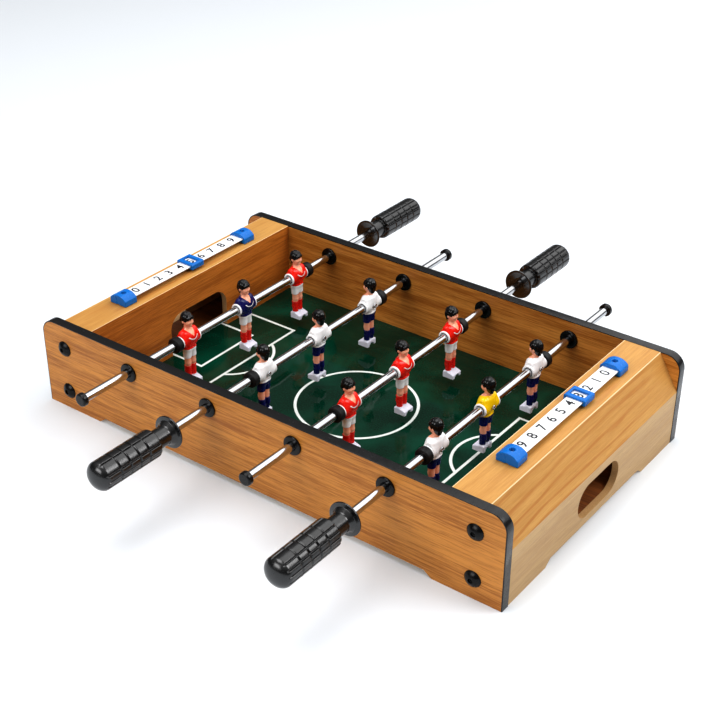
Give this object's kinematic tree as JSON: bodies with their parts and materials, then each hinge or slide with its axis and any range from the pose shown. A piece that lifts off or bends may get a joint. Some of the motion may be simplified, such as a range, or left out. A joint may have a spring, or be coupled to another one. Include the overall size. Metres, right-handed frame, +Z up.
{
  "type": "tabletop foosball table",
  "caption": "Tabletop foosball game: a wooden cabinet with a green field, rods that slide and spin, players on them, handles, goals, ball-return holes and sliding score counters.",
  "frame": {"origin": "middle of the cabinet's footprint, on the surface that the feet stand on", "axes": "+Z up; +Y across the table along the rods, towards the back long side; +X along the long sides, towards the goal of the team in white"},
  "size_m": [0.51, 0.5868, 0.1],
  "materials": {
    "side_wood": "satin printed oak laminate, brown",
    "end_wood": "satin printed oak laminate, light tan with reddish grain",
    "edge_band": "satin black edge banding",
    "field_green": "glossy dark green with white lines",
    "bare_wood": "bare wood",
    "black_bolt": "gloss black",
    "insert_metal": "plain",
    "black_plastic": "gloss black",
    "handle_plastic": "semi-gloss black",
    "rubber": "matte black",
    "chrome": "bright",
    "steel_screw": "dark plated",
    "counter_blue": "glossy blue",
    "counter_white": "white with dark digits",
    "figure_red": "glossy red",
    "figure_navy": "glossy navy",
    "figure_white": "glossy white",
    "figure_yellow": "glossy yellow",
    "skin": "painted skin tone",
    "hair": "glossy black",
    "shoe_white": "pale",
    "digit_ink": "printed grey-black"
  },
  "bodies": {
    "cabinet": {"ball_tray_left": "bare_wood", "ball_tray_right": "bare_wood", "bush_nuts": "black_plastic", "cabinet_bolts": "black_bolt", "corner_blocks": "bare_wood", "edge_band_back": "edge_band", "edge_band_front": "edge_band", "end_ledge_left": "end_wood", "end_ledge_right": "end_wood", "end_panel_left": "end_wood", "end_panel_right": "end_wood", "end_slope_left": "end_wood", "end_slope_right": "end_wood", "goal_wall_left": "end_wood", "goal_wall_right": "end_wood", "playfield": "field_green", "rod_bushes": "black_plastic", "score_end_blocks_left": "counter_blue", "score_end_blocks_right": "counter_blue", "score_screws": "steel_screw", "score_strip_left": "counter_white", "score_strip_right": "counter_white", "side_panel_back": "side_wood", "side_panel_front": "side_wood", "threaded_inserts": "insert_metal"},
    "score_slider_left": {"score_slider_left": "counter_blue"},
    "score_slider_right": {"score_slider_right": "counter_blue"},
    "rod1_carriage": {"rod1_bumpers": "rubber"},
    "rod1": {"rod1_tube": "chrome", "rod1_handle": "handle_plastic", "rod1_cap": "rubber", "rod1_player_front": "figure_red", "rod1_player_middle": "figure_navy", "rod1_player_back": "figure_red", "rod1_player_screws": "steel_screw"},
    "rod2_carriage": {"rod2_bumpers": "rubber"},
    "rod2": {"rod2_tube": "chrome", "rod2_handle": "handle_plastic", "rod2_cap": "rubber", "rod2_player_front": "figure_white", "rod2_player_middle": "figure_white", "rod2_player_back": "figure_white", "rod2_player_screws": "steel_screw"},
    "rod3_carriage": {"rod3_bumpers": "rubber"},
    "rod3": {"rod3_tube": "chrome", "rod3_handle": "handle_plastic", "rod3_cap": "rubber", "rod3_player_front": "figure_red", "rod3_player_middle": "figure_red", "rod3_player_back": "figure_red", "rod3_player_screws": "steel_screw"},
    "rod4_carriage": {"rod4_bumpers": "rubber"},
    "rod4": {"rod4_tube": "chrome", "rod4_handle": "handle_plastic", "rod4_cap": "rubber", "rod4_player_front": "figure_white", "rod4_player_middle": "figure_yellow", "rod4_player_back": "figure_white", "rod4_player_screws": "steel_screw"}
  },
  "joints": [
    {"name": "rod1_slide", "type": "slide", "parent": "cabinet", "child": "rod1_carriage", "axis": [0, 1, 0], "range_m": [-0.0458, 0.0328]},
    {"name": "rod1_spin", "type": "hinge", "parent": "rod1_carriage", "child": "rod1", "pos_m": [-0.1425, 0, 0.071], "axis": [0, 1, 0], "continuous": true},
    {"name": "rod2_slide", "type": "slide", "parent": "cabinet", "child": "rod2_carriage", "axis": [0, 1, 0], "range_m": [-0.0428, 0.0358]},
    {"name": "rod2_spin", "type": "hinge", "parent": "rod2_carriage", "child": "rod2", "pos_m": [-0.0475, 0, 0.071], "axis": [0, 1, 0], "continuous": true},
    {"name": "rod3_slide", "type": "slide", "parent": "cabinet", "child": "rod3_carriage", "axis": [0, 1, 0], "range_m": [-0.0438, 0.0348]},
    {"name": "rod3_spin", "type": "hinge", "parent": "rod3_carriage", "child": "rod3", "pos_m": [0.0475, 0, 0.071], "axis": [0, 1, 0], "continuous": true},
    {"name": "rod4_slide", "type": "slide", "parent": "cabinet", "child": "rod4_carriage", "axis": [0, 1, 0], "range_m": [-0.0378, 0.0408]},
    {"name": "rod4_spin", "type": "hinge", "parent": "rod4_carriage", "child": "rod4", "pos_m": [0.1425, 0, 0.071], "axis": [0, 1, 0], "continuous": true},
    {"name": "score_slider_left_slide", "type": "slide", "parent": "cabinet", "child": "score_slider_left", "axis": [0, 1, 0], "range_m": [-0.07653, 0.06128]},
    {"name": "score_slider_right_slide", "type": "slide", "parent": "cabinet", "child": "score_slider_right", "axis": [0, 1, 0], "range_m": [-0.09178, 0.04603]}
  ]
}
